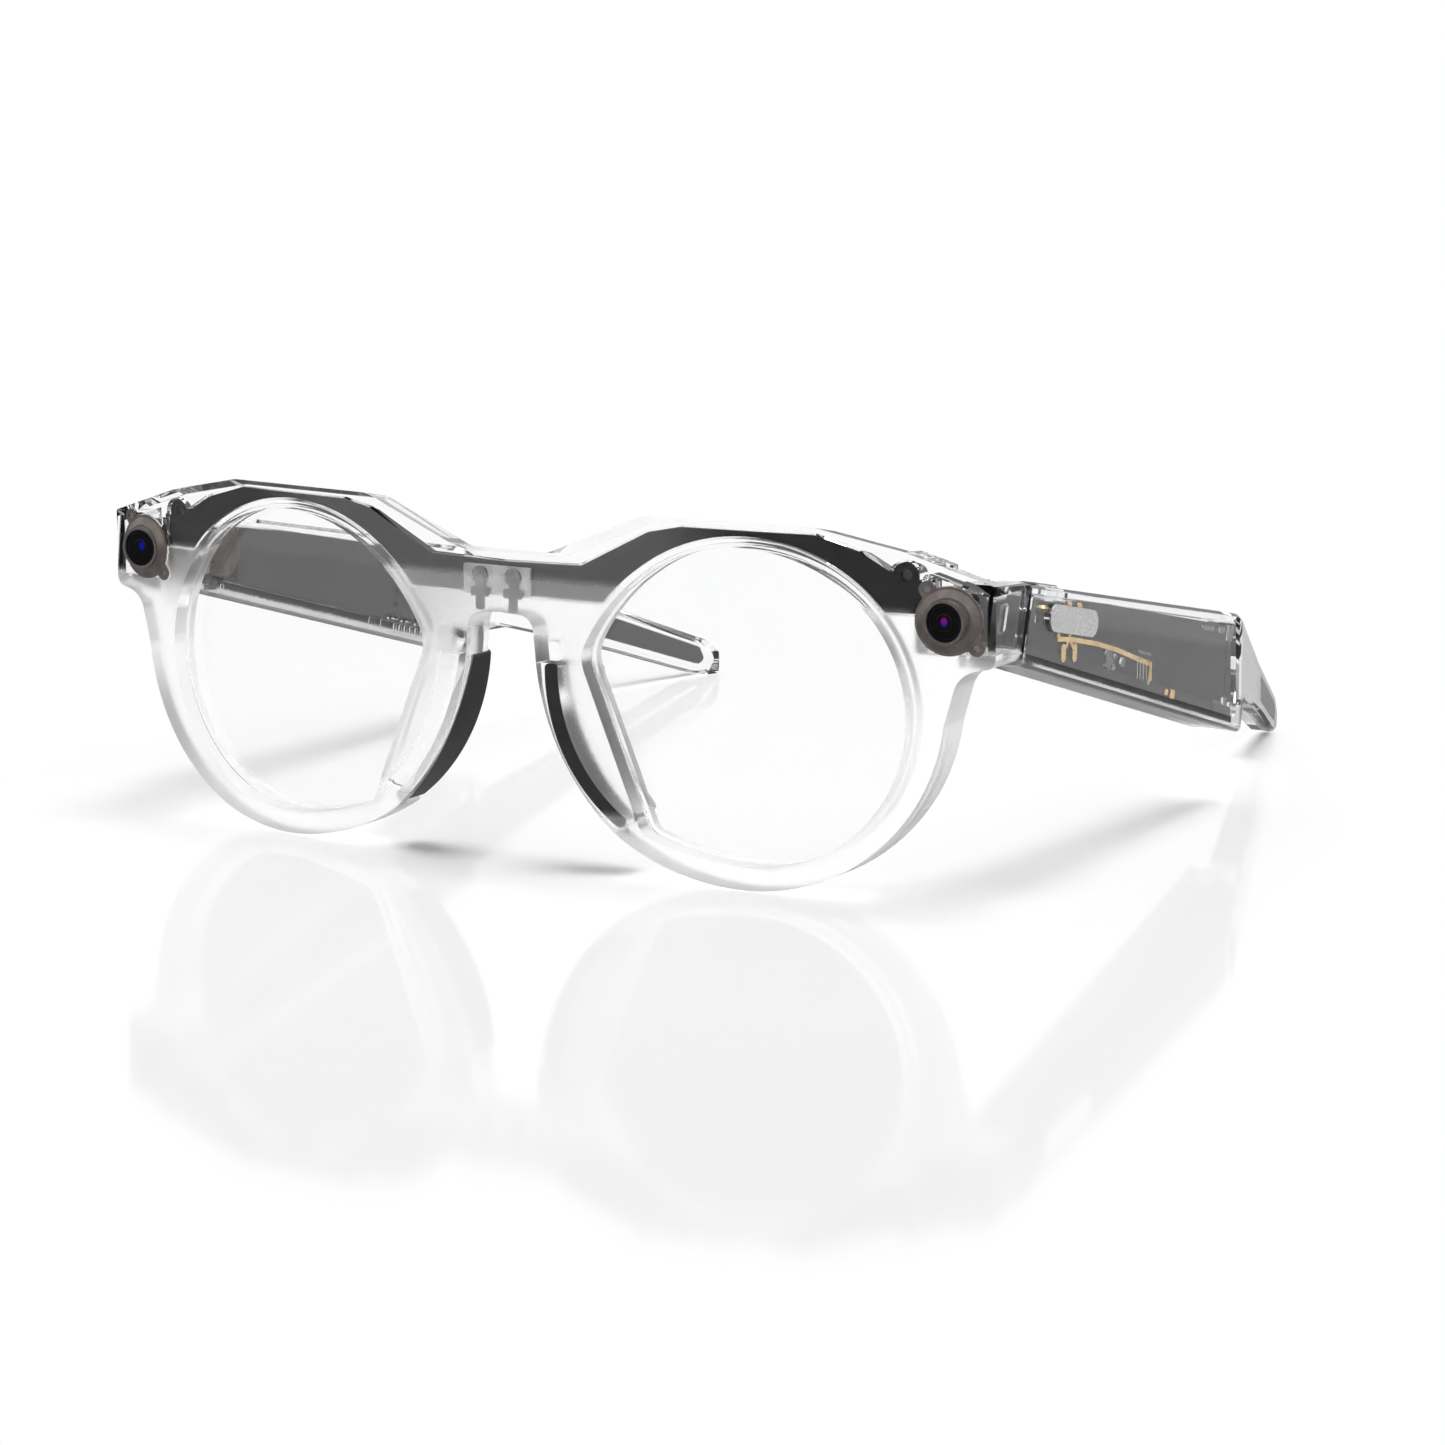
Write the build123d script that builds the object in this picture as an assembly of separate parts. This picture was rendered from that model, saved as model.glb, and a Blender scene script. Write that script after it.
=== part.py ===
from build123d import *

import os
from math import asin, atan, cos, degrees, radians, sin, tan

# Smart glasses: a clear front with a camera, a light and a brow full of wiring, and two folding
# temples that carry the electronics.
#
# Units are millimetres. Everything is laid out from the front face: x runs to the wearer's left,
# y runs backwards from the foremost point of the face, and z runs up from the table that the
# glasses stand on. place() then moves the origin to the middle of the footprint.

# Driving dimensions
FACE_RADIUS = 319.0  # wrap of the front, about a vertical axis behind it
FRONT_DEPTH = 6.0  # thickness of the front moulding
HALF_WIDTH = 75.0  # middle of the bridge to the outside of a temple
OVERALL_LENGTH = 153.0  # foremost point of the face to the end of the temple tips
FIT = 0.1  # gap round a part that is clipped or glued into place
THIN_FIT = 0.05  # gap between stacked layers
FAR = 60.0  # spare reach of cutting tools

# The seam between front and temple leans back towards the top
SEAM = 18.0
SEAM_Z = 39.5
SEAM_LEAN = 0.3
SEAM_GAP = 0.25

# Corners of the top edge of the front, from the bridge outwards, in x and z
TOP_CORNERS = ((8.1, 46.2), (23.4, 52.5), (49.1, 52.4), (62.0, 49.7), (HALF_WIDTH, 45.4))

# Layers of the front, measured back from the wrapped face
SKIN = 1.1
BRACKET_LAYER = (1.2, 1.7)
PLATE_LAYER = (1.8, 2.4)
FLEX_LAYER = (2.45, 2.75)
POCKET_STEP = 3.0  # the brow's pocket is narrower behind this depth
COVER_INSET = 0.7  # by this much all round
COVER_LAYER = (4.7, FRONT_DEPTH)
LENS_LAYER = (2.9, 4.7)
LENS_EDGE = 0.5  # how far the lens reaches into the rim
TOP_FALL = 0.2  # how far the top of the front falls for each millimetre backwards
END_FALL = 0.1  # and the top of an endpiece

# Nose pads: each starts just behind the nasal edge, and its front leans back from there
PAD_EDGE = (9.8, 17.6)  # a point of the nasal edge, in x and z
PAD_FRONT = 1.0
PAD_BACK = 8.2
MOUNT_BACK = 7.6  # the rim is thickened this far back behind a pad
PAD_ALONG = (0.466, 0, -0.886)  # the run of the nasal edge
PAD_LEAN = (0.886, 0.55, 0.466)  # the way that the front of a pad leans back

# Camera and light, one in each endpiece, square to the wrapped face
EYE_X = 68.5
EYE_Z = 40.3
COLLAR_RISE = 1.6  # the collar faces straight forward and stands this far in front of the face
COLLAR_ROOT = 1.9
FLANGE_RADIUS = 4.85
COLLAR_RADIUS = 3.15
COLLAR_BORE = 2.75
RECESS = 0.6  # the bezel's flange is let into the skin by this much
EAR_REACH = 5.4  # centre of the bezel to the screw in each ear
EAR_RADIUS = 1.15
EAR_ANGLES = (126, -42)
SCREW_RADIUS = 0.5

# Charging pins, a little to the wearer's right of the middle of the bridge
BRIDGE_X = -1.0
PIN_X = 2.8  # from there to each pin
PIN_Z = 41.7

# Hinge
HINGE_X = 65.6
HINGE_Y = 17.7
KNUCKLE_RADIUS = 1.7
PIN_RADIUS = 0.75
PIN_CLEARANCE = 0.04
BASE_KNUCKLES = ((35.2, 37.6), (41.2, 43.6))
LEAF_KNUCKLE = (37.7, 41.1)
BASE_SCREWS = ((62.6, 36.2), (62.6, 39.4))  # x and z
LEAF_SCREWS = ((23.2, 39.2), (23.2, 35.6))  # y and z
LEAF_OUTLINE = ((21.7, 41.2), (27.0, 40.9), (27.0, 33.0), (20.0, 34.6))  # y and z, before the round end
TOE_IN = 1.03  # degrees that an open temple leans inwards

# Layers of a temple, as x before it leans inwards
SHELL_OUT = HALF_WIDTH
SHELL_SKIN = 73.4
SHELL_IN = 67.8
BEVEL = 0.5
FLEX_X = (73.0, 73.3)
CARRIER_X = (69.5, 72.9)
CARRIER_FLOOR = 72.2
PANEL_X = (69.05, 69.4)
COVER_X = (SHELL_IN, 69.0)
LEAF_X = (67.1, 69.0)
TRAY_BACK = 72.1  # what lies in the tray rests here
BADGE_DEPTH = 0.65

# Temple seen from the side, in y and z
TIP_Y = OVERALL_LENGTH + 0.6  # end of the tip before it is rounded and leaned in
TOP_FRONT, TOP_BACK = (19.5, 44.3), (94.0, 29.3)
TOP_SLOPE = degrees(atan((TOP_FRONT[1] - TOP_BACK[1]) / (TOP_BACK[0] - TOP_FRONT[0])))
UNDER_BACK = (96.0, 10.4)
TIP_CORE = ((126, 13.9), (149.0, 5.0), (150.2, 2.6), (148.6, 1.9), (126, 9.6))
VENTS = ((72.2, 20.2), (76.0, 19.1), (79.8, 18.0))
CARRIER_OUTLINE = (
    (20.9, 35.4),
    (22.6, 41.9),
    (47.0, 37.5),
    (93.4, 27.4),
    (94.0, 15.0),
    (88.9, 14.9),
    (60.0, 23.0),
    (28.0, 32.4),
)
CHIPS = ((34.5, 34.9, 3.4, 3.0), (40.5, 33.4, 5.0, 3.6), (47.2, 31.2, 4.2, 4.4), (52.8, 29.6, 3.0, 3.4))
FLEX_ROUTE = (
    (30.3, 37.4),
    (30.3, 34.9),
    (35.1, 34.1),
    (43.6, 32.2),
    (50.7, 30.2),
    (62.4, 26.3),
    (61.8, 23.7),
)
FLEX_FORK = (34.0, 34.5)
FLEX_PADS = ((32.0, 32.6), (35.8, 32.1))
FLEX_CONTACTS = ((34.0, 39.1), (37.4, 38.4))

# Capture button and power switch
BUTTON_X = 71.4
BUTTON_Y = 29.5
BUTTON_Z = TOP_FRONT[1] - (BUTTON_Y - TOP_FRONT[0]) * tan(radians(TOP_SLOPE))
BUTTON_LENGTH = 9.0
BUTTON_WIDTH = 3.0
BUTTON_RISE = 0.5
SWITCH_Y = 36.5
SWITCH_Z = 35.0
SWITCH_TRAVEL = 1.5


# Shaping tools
def polygon(*points):
    """A filled polygon through the points."""
    return make_face(Polyline(*points, close=True))


def corners_near(sketch, points, reach=0.6):
    """The corners of a sketch that lie within reach of any of the points."""
    targets = [Vector(*point) for point in points]
    return [v for v in sketch.vertices() if any((Vector(v.X, v.Y) - p).length < reach for p in targets)]


def rounded(sketch, radii):
    """Rounds the corners of a sketch; radii maps a radius to the corners that it is for."""
    for radius, points in radii.items():
        sketch = fillet(corners_near(sketch, points), radius)
    return sketch


def prism_y(sketch, low, high):
    """A sketch in x and z, extruded from y = low to y = high."""
    return extrude(Plane.XZ.offset(-high) * sketch, high - low)


def prism_x(sketch, low, high):
    """A sketch in y and z, extruded from x = low to x = high."""
    return extrude(Plane.YZ.offset(low) * sketch, high - low)


def prism_z(sketch, low, high):
    """A sketch in x and y, extruded from z = low to z = high."""
    return extrude(Plane.XY.offset(low) * sketch, high - low)


def wrapped(sketch, near, far):
    """A sketch in x and z, made into a sheet between two depths behind the wrapped face."""
    axis = Pos(0, FACE_RADIUS, 25)
    block = prism_y(sketch, -5, 30)
    return block & axis * Cylinder(FACE_RADIUS - near, 120) - axis * Cylinder(FACE_RADIUS - far, 120)


def face_depth(x):
    """Depth of the wrapped face at x."""
    return FACE_RADIUS * (1 - cos(asin(x / FACE_RADIUS)))


def both(shape):
    """A shape on the wearer's left together with its mirror image."""
    return shape + mirror(shape, Plane.YZ)


def on_side(shape, side):
    """A shape made for the wearer's left, for the side asked for: 1 is left and -1 is right."""
    return shape if side == 1 else mirror(shape, Plane.YZ)


def behind_seam(gap=0.0):
    """All the space behind the seam plane, moved back by gap."""
    lean = degrees(atan(SEAM_LEAN))
    block = Box(400, 400, 400, align=(Align.CENTER, Align.MIN, Align.CENTER))
    return Pos(0, SEAM + gap, SEAM_Z) * Rot(-lean, 0, 0) * block


def disc(radius, low, high):
    """A disc or rod about z, from low to high."""
    return Pos(0, 0, (low + high) / 2) * Cylinder(radius, high - low)


def hinge_rod(radius, low, high):
    """A rod on the left hinge's axis."""
    return Pos(HINGE_X, HINGE_Y, 0) * disc(radius, low, high)


# Outlines of the front, in x and z
def opening_outline():
    """The lens opening on the wearer's left: round, with a straight nasal side."""
    bottom, nasal_low, nasal_high = (40.2, 3.4), (23.0, 6.8), (13.1, 31.4)
    lower = TangentArc(bottom, (62.5, 27.5), tangent=(1, 0))
    outer = TangentArc(lower @ 1, (49.6, 46.3), tangent=lower % 1)
    brow = TangentArc(outer @ 1, (24.0, 44.6), tangent=outer % 1)
    shoulder = TangentArc(brow @ 1, nasal_high, tangent=brow % 1)
    foot = TangentArc(bottom, nasal_low, tangent=(-1, 0))
    shape = make_face(Curve() + [lower, outer, brow, shoulder, Line(nasal_high, nasal_low), foot])
    return rounded(shape, {2.5: [nasal_low], 5.0: [nasal_high]})


def front_outline():
    """The outside of the front, with the gap for the nose, before the top is cut to its slope."""
    end_low, junction = (HALF_WIDTH, 34.0), (69.9, 33.0)
    over_top = [(x, z + 4) for x, z in ((0, TOP_CORNERS[0][1]), *TOP_CORNERS)]
    temporal, bottom, foot, nose_side = (67.9, 25.5), (39.5, 0), (18.9, 6.3), (5.9, 31.0)
    roof = (5.4, 36.7)
    half = Curve() + [
        Polyline(*over_top, end_low, junction, temporal),
        TangentArc(bottom, temporal, tangent=(1, 0)),
        TangentArc(bottom, foot, tangent=(-1, 0)),
        ThreePointArc(foot, (9.6, 17.9), nose_side),
        Polyline(nose_side, roof, (0, 37.0)),
    ]
    shape = make_face(half + mirror(half, Plane.YZ))
    radii = {2.5: [foot], 1.5: [end_low], 4.0: [junction], 2.4: [roof]}
    return rounded(shape, {r: [(side * x, z) for x, z in p for side in (1, -1)] for r, p in radii.items()})


def brow_outline(inset=0.0):
    """The strip over both lenses that holds the electronics, with an ear at each end."""
    top = [(0, 44.3), (12.6, 44.6), (23.4, 50.2), (28.3, 51.2), (48.6, 51.2), (55.4, 49.2), (59.8, 46.6)]
    top = [(x, z - inset) for x, z in top]
    end, under = 64.2 - inset, 40.7 + inset
    bridge_low = 39.3 + inset
    half = polygon(*top, (end, 45.6 - inset), (end, under), (50, under), (50, bridge_low), (0, bridge_low))
    half += Pos(61.8, 46.1) * Circle(2.1 - inset)
    return both(half - offset(opening_outline(), 1.3 + inset))


def pad_outline(reach=0.0):
    """A nose pad from the front, on the wearer's left, with its nasal side moved out by reach."""
    inner_low, inner_top = (20.0, 7.9), (8.3, 29.9)
    top, low = (6.5 - reach, 29.9), (18.7 - 0.85 * reach, 6.9 - 0.52 * reach)
    middle = (PAD_EDGE[0] - 0.89 * reach, PAD_EDGE[1] - 0.47 * reach)
    shape = make_face(
        Curve()
        + [
            ThreePointArc(top, middle, low),
            Line(low, inner_low),
            ThreePointArc(inner_low, (11.4, 18.35), inner_top),
            Line(inner_top, top),
        ]
    )
    return fillet(shape.vertices(), 0.6)


def pad_block(grow=0.0):
    """A nose pad before its back is rounded, or with grow the pocket, open to the nose, that holds it."""
    outline = offset(pad_outline(reach=2.0), grow) if grow else pad_outline()
    block = prism_y(outline, 0, FAR if grow else PAD_BACK)
    start = (PAD_EDGE[0], PAD_FRONT - grow, PAD_EDGE[1])
    facing = Vector(*PAD_LEAN).cross(Vector(*PAD_ALONG))
    front = Plane(origin=start, x_dir=PAD_ALONG, z_dir=facing * (-1 if facing.Y > 0 else 1))
    return block - front.location * Box(FAR, FAR, 20, align=(Align.CENTER, Align.CENTER, Align.MIN))


def mount_outline():
    """The thickening of the rim behind which a nose pad sits."""
    top, low, inner_low, inner_top = (7.6, 29.4), (19.3, 8.6), (22.4, 9.1), (13.2, 29.6)
    shape = make_face(
        Curve()
        + [
            ThreePointArc(top, (10.7, 18.3), low),
            Line(low, inner_low),
            ThreePointArc(inner_low, (16.0, 19.4), inner_top),
            Line(inner_top, top),
        ]
    )
    return rounded(shape, {0.7: [inner_low, inner_top]})


# The front moulding
def endpiece():
    """The left endpiece, from the rim round the corner to the seam."""
    plan = polygon(
        (62.0, face_depth(62)),
        (HALF_WIDTH - 0.9, face_depth(HALF_WIDTH) - 0.2),
        (HALF_WIDTH, face_depth(HALF_WIDTH) + 0.9),
        (HALF_WIDTH, 24),
        (67.6, 24),
        (67.6, 13.2),
        (62.0, 11.8),
    )
    side = polygon((-5, 60), (-5, 34.2), (8, 34.2), (30, 30.4), (30, 43.6), (8, 45.5))
    lower = prism_z(plan, 30, 60) & prism_x(side, HALF_WIDTH - 8, HALF_WIDTH)
    rim_part = prism_z(plan, 33.5, 60) & prism_x(Pos(3, 45) * Rectangle(20, 40), 59, HALF_WIDTH - 8)
    trimmed = (lower + rim_part) & prism_y(front_outline() - offset(opening_outline(), 1.2), -5, FAR)
    return trimmed - behind_seam()


def endpiece_cavity():
    """Room for the camera or the light behind the skin of the endpiece, open at the seam."""
    x_in, x_out = 65.2, 73.5
    plan = polygon(
        (x_in, face_depth(x_in) + SKIN),
        (x_out, face_depth(x_out) + SKIN),
        (x_out, FAR),
        (68.7, FAR),
        (68.7, 12.6),
        (x_in, 11.9),
    )
    profile = polygon((64.5, 35.6), (74, 35.6), (74, 43.6), (64.5, 46.8))
    return prism_z(plan, 30, 50) & prism_y(profile, 0, FAR)


def eye_place(side, forward=False):
    """Where a bezel sits, facing out of the wrapped face, or straight forward as a collar does."""
    lean = 0 if forward else side * asin(EYE_X / FACE_RADIUS)
    origin = (side * EYE_X, face_depth(EYE_X), EYE_Z)
    return Plane(origin=origin, x_dir=(cos(lean), sin(lean), 0), z_dir=(sin(lean), -cos(lean), 0)).location


def at_ears(shape):
    """Copies of a shape at the screws of a bezel."""
    return [Rot(0, 0, angle) * Pos(EAR_REACH, 0, 0) * Rot(0, 0, -angle) * shape for angle in EAR_ANGLES]


def bezel_outline(grow=0.0):
    """A bezel's flange with its two ears."""
    ears = Sketch() + at_ears(Circle(EAR_RADIUS))
    arm = Pos(EAR_REACH / 2, 0) * Rectangle(EAR_REACH, 2 * EAR_RADIUS)
    arms = Sketch() + [Rot(0, 0, angle) * arm for angle in EAR_ANGLES]
    shape = Circle(FLANGE_RADIUS) + ears + arms
    return offset(shape, grow) if grow else shape


def bezel_seat(side):
    """What the front loses for one bezel: the flange's recess, the barrel hole and the screw holes."""
    recess = extrude(Plane.XY.offset(-RECESS) * bezel_outline(THIN_FIT), 4)
    recess += at_ears(disc(SCREW_RADIUS - 0.1, -SKIN, 0))
    return eye_place(side) * recess + eye_place(side, forward=True) * disc(COLLAR_RADIUS + THIN_FIT, -3, 4)


def under_top(fall):
    """All the space under the top of the front, which falls by so much for each millimetre backwards."""
    beyond = HALF_WIDTH + 10
    half = [(x, z + fall * face_depth(x)) for x, z in TOP_CORNERS]
    half.append((beyond, half[-1][1] - 4))
    outline = polygon((-beyond, -20), *[(-x, z) for x, z in reversed(half)], *half, (beyond, -20))
    both_sides = [(side * x, z) for x, z in half for side in (1, -1)]
    radii = {4.0: both_sides[0:2] + both_sides[6:8], 8.0: both_sides[2:6]}
    block = extrude(rounded(outline, radii), 25, taper=degrees(atan(fall)))
    return Rot(90, 0, 0) * block


def front_frame():
    """The clear moulding: rims, bridge and endpieces, with pockets for what it holds."""
    groove = both(offset(opening_outline(), LENS_EDGE + THIN_FIT))
    body = wrapped(front_outline() - both(opening_outline()), 0, FRONT_DEPTH) & under_top(TOP_FALL)
    body += both(endpiece()) & under_top(END_FALL)
    body += both(prism_y(mount_outline(), 3.0, MOUNT_BACK))
    body -= both(pad_block(THIN_FIT))
    body -= wrapped(groove, LENS_LAYER[0] - THIN_FIT, LENS_LAYER[1] + THIN_FIT)
    body -= wrapped(brow_outline(-FIT), SKIN, POCKET_STEP)
    body -= wrapped(brow_outline(COVER_INSET - FIT), SKIN, FRONT_DEPTH + 1)
    body -= both(endpiece_cavity())
    channel = Pos(65.4, 43.6) * Rectangle(4, 2.6)
    body -= wrapped(both(channel), PLATE_LAYER[0], FLEX_LAYER[1] + 0.3)
    for side in (1, -1):
        body -= bezel_seat(side)
    return body


def brow_plate():
    """The dark stiffening plate over the lenses, with a locating hole in each ear."""
    outline = brow_outline(0.15) - both(Pos(61.8, 46.2) * Circle(0.85))
    return wrapped(outline, *PLATE_LAYER)


def brow_flex():
    """The flexible circuit that joins the two temples behind the brow plate."""
    return wrapped(brow_outline(0.25), *FLEX_LAYER)


def bridge_bracket():
    """The small plate in the bridge that the charging pins are fixed to."""
    plate = Pos(BRIDGE_X, 41.45) * Rectangle(11.4, 4.2)
    plate = fillet(plate.vertices(), 0.4)
    return wrapped(plate, *BRACKET_LAYER)


def charge_pins():
    """Two sprung charging pins that reach from the bracket through to the back of the bridge."""
    pin = prism_y(Circle(0.75), BRACKET_LAYER[1] + 0.1, FRONT_DEPTH + 0.15)
    pin += prism_y(Circle(1.1), FRONT_DEPTH - 0.5, FRONT_DEPTH + 0.15)
    return Compound(children=[Pos(BRIDGE_X + x, 0, PIN_Z) * pin for x in (-PIN_X, PIN_X)])


def pin_holes(grow):
    """Clearance for the charging pins through the layers of the bridge."""
    hole = prism_y(Circle(1.1 + grow), BRACKET_LAYER[1], FAR)
    return [Pos(BRIDGE_X + x, 0, PIN_Z) * hole for x in (-PIN_X, PIN_X)]


def rear_cover():
    """The cover that closes the brow from behind, with two holes for the charging pins."""
    return wrapped(brow_outline(COVER_INSET), *COVER_LAYER) - pin_holes(THIN_FIT)


def lens():
    """The left lens, held by a groove in the rim."""
    return wrapped(offset(opening_outline(), LENS_EDGE), *LENS_LAYER)


def nose_pad():
    """The left nose pad, soft and rounded towards the nose."""
    pad = pad_block()
    return fillet(pad.faces().sort_by(Axis.Y)[-1].edges(), 0.7)


# Camera and light
def bezel(side):
    """The metal ring round the camera or the light: a flange in the skin and a forward collar."""
    flange = extrude(Plane.XY.offset(-RECESS) * bezel_outline(), RECESS + 0.1)
    foot = Align.CENTER, Align.CENTER, Align.MIN
    flange += Pos(0, 0, 0.1) * Cone(FLANGE_RADIUS - 0.35, COLLAR_RADIUS + 0.25, 0.6, align=foot)
    flange -= at_ears(disc(SCREW_RADIUS + THIN_FIT, -RECESS - 1, 1))
    collar = disc(COLLAR_RADIUS, -COLLAR_ROOT, COLLAR_RISE)
    forward = eye_place(side, forward=True)
    return eye_place(side) * flange + forward * collar - forward * disc(COLLAR_BORE, -COLLAR_ROOT - 2, 4)


def bezel_screws():
    """The two screws of one bezel, sunk into its ears."""
    head = disc(SCREW_RADIUS, -RECESS, 0.02) - Box(0.7, 0.14, 0.3)
    return Compound(children=at_ears(head + disc(SCREW_RADIUS - 0.15, -SKIN + THIN_FIT, -RECESS)))


def eye_window():
    """The dark glass disc inside a bezel, with a slightly domed middle."""
    dome = disc(1.3, 1.2, 1.45)
    return disc(COLLAR_BORE - THIN_FIT, 0.65, 1.25) + fillet(dome.faces().sort_by(Axis.Z)[-1].edges(), 0.15)


def eye_module(barrel_radius, side):
    """The block behind a bezel, set outwards, with a barrel that reaches forward into the bezel."""
    block = Pos(side * 0.75, 0.1, -3.25) * Box(5.9, 7.4, 2.2)
    block = chamfer(block.edges().filter_by(Axis.Z), 0.5)
    return block + disc(barrel_radius, -2.5, 0.55)


def endpiece_cap():
    """The plug that closes the endpiece at the seam, with a slot for the temple's wiring."""
    plug = polygon((68.8, 35.7), (73.4, 35.7), (73.4, 43.6), (68.8, 43.6))
    cap = prism_y(plug, 0, FAR) & endpiece_cavity()
    cap &= behind_seam(-1.3) - behind_seam(-0.1)
    return cap - prism_y(Pos(71, 39.5) * SlotOverall(4, 0.9, rotation=90), 0, FAR)


# Hinge
def hinge_base():
    """The half of the left hinge on the front: a plate behind the rim with two knuckles."""
    plate = polygon((61.5, 34.8), (66.7, 34.8), (66.7, 43.8), (64.2, 43.8), (61.5, 40.6))
    plate = fillet(plate.vertices(), 0.6)
    base = wrapped(plate, FRONT_DEPTH + THIN_FIT, FRONT_DEPTH + 1)
    for low, high in BASE_KNUCKLES:
        arm = Pos(HINGE_X, 15.6, (low + high) / 2) * Box(2.2, 4.2, high - low)
        base += arm + hinge_rod(KNUCKLE_RADIUS, low, high)
        base -= hinge_rod(PIN_RADIUS + PIN_CLEARANCE, low - 1, high + 1)
    for x, z in BASE_SCREWS:
        base -= prism_y(Pos(x, z) * Circle(0.75 + THIN_FIT), 0, FAR)
    return base


def hinge_pin():
    """The left hinge pin, with a slotted head."""
    low, high = BASE_KNUCKLES[0][0] - 0.3, BASE_KNUCKLES[1][1]
    pin = hinge_rod(PIN_RADIUS, low, high + 0.2) + hinge_rod(1.25, high + 0.05, high + 0.75)
    slot = Pos(HINGE_X, HINGE_Y, high + 0.75) * Box(0.35, 2.6, 0.5)
    return pin - slot


def base_screws():
    """The screws of the left hinge base, with heads behind its plate."""
    y = face_depth(BASE_SCREWS[0][0]) + FRONT_DEPTH
    screws = []
    for x, z in BASE_SCREWS:
        head = prism_y(Pos(x, z) * Circle(0.75), y + 0.3, y + 1.25)
        head -= Pos(x, y + 1.25, z) * Box(1.6, 0.5, 0.25)
        screws.append(head + prism_y(Pos(x, z) * Circle(0.45), y + 0.15, y + 0.4))
    return Compound(children=screws)


# Temple, made for the wearer's left, standing straight back until lean() leans it in


def lean(shape):
    """Leans a temple part in by the toe-in angle, about the hinge."""
    return Pos(HINGE_X, HINGE_Y, 0) * Rot(0, 0, TOE_IN) * Pos(-HINGE_X, -HINGE_Y, 0) * shape


def temple_side():
    """A temple from the side, in y and z."""
    start_top, start_low = (10, 46.2), (10, 35.1)
    shape = polygon(
        start_top,
        TOP_BACK,
        (122, 17.0),
        (149.4, 6.2),
        (TIP_Y, 2.6),
        (152.0, 0),
        (149.2, 0),
        (127.6, 7.4),
        (104.5, 14.2),
        (98.6, 14.2),
        UNDER_BACK,
        start_low,
    )
    radii = {
        12: [TOP_BACK],
        3.5: [(149.4, 6.2)],
        1.4: [(TIP_Y, 2.6), (98.6, 14.2)],
        1.0: [(152.0, 0), UNDER_BACK],
        8: [(149.2, 0), (104.5, 14.2)],
        25: [(127.6, 7.4), (122, 17.0)],
    }
    return rounded(shape, radii)


def temple_plan():
    """A temple from above, in x and y."""
    shape = polygon(
        (SHELL_OUT, 10),
        (SHELL_OUT, 95.5),
        (57.4, TIP_Y),
        (53.6, TIP_Y),
        (SHELL_IN, 97.5),
        (SHELL_IN, 10),
    )
    radii = {6: [(SHELL_OUT, 95.5)], 8: [(SHELL_IN, 97.5)], 1.7: [(57.4, TIP_Y), (53.6, TIP_Y)]}
    return rounded(shape, radii)


def cavity_side(gap=0.0):
    """The inside of the electronics box from the side, in y and z."""
    shape = polygon((18.9, 34.6), (21.6, 42.7), (94.2, 27.9), (94.9, 12.9))
    shape = fillet(shape.vertices(), 0.8)
    return offset(shape, -gap) if gap else shape


def tip_space(gap=0.0):
    """The space for the core of a temple tip, along the middle of the tip."""
    side = polygon(*TIP_CORE)
    side = fillet(side.vertices(), 0.9)
    if gap:
        side = offset(side, -gap)
    half = 1.0 - gap
    plan = polygon((64.4 - half, 124), (56.7 - half, 152), (56.7 + half, 152), (64.4 + half, 124))
    return prism_x(side, 50, 75) & prism_z(plan, 0, 60)


def badge_outline(grow=0.0):
    """A plain oblong badge on the outside of a temple, in y and z."""
    shape = Pos(34.2, 37.0) * Rot(0, 0, -12) * SlotOverall(16.2, 3.9)
    return offset(shape, grow) if grow else shape


def button_place():
    """Where the capture button crosses the top of the temple, with z out of the surface."""
    return Pos(BUTTON_X, BUTTON_Y, BUTTON_Z) * Rot(-TOP_SLOPE, 0, 0)


def button_key(grow=0.0, low=-2.0, high=BUTTON_RISE):
    """The capture button's key, or with grow the hole that it slides in."""
    outline = SlotOverall(BUTTON_LENGTH + 2 * grow, BUTTON_WIDTH + 2 * grow, rotation=90)
    return extrude(Plane.XY.offset(low) * outline, high - low)


def temple_shell(has_button):
    """The clear outer shell of a temple: a box, open on the inner side, that runs into the tip."""
    body = prism_x(temple_side(), 50, 76) & prism_z(temple_plan(), -1, 60)
    body &= behind_seam(SEAM_GAP)
    outer = [e for e in body.edges() if e.center().X > SHELL_OUT - 0.01]
    body = chamfer(outer, BEVEL)
    body -= prism_x(cavity_side(), SHELL_IN - 1, SHELL_SKIN)
    body -= tip_space()
    body -= prism_x(badge_outline(THIN_FIT), SHELL_OUT - BADGE_DEPTH - THIN_FIT, SHELL_OUT + 1)
    if has_button:
        body -= button_place() * button_key(grow=0.15, low=-4, high=3)
    return body


def leaf_outline(grow=0.0):
    """The visible plate of the hinge leaf, in y and z, rounded at the back."""
    front_top, back_top, back_low, front_low = LEAF_OUTLINE
    shape = make_face(
        Curve()
        + [
            Line(front_low, front_top),
            Line(front_top, back_top),
            ThreePointArc(back_top, (30.6, 37.1), back_low),
            Line(back_low, front_low),
        ]
    )
    shape = fillet(corners_near(shape, [front_top, front_low]), 0.5)
    return offset(shape, grow) if grow else shape


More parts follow.
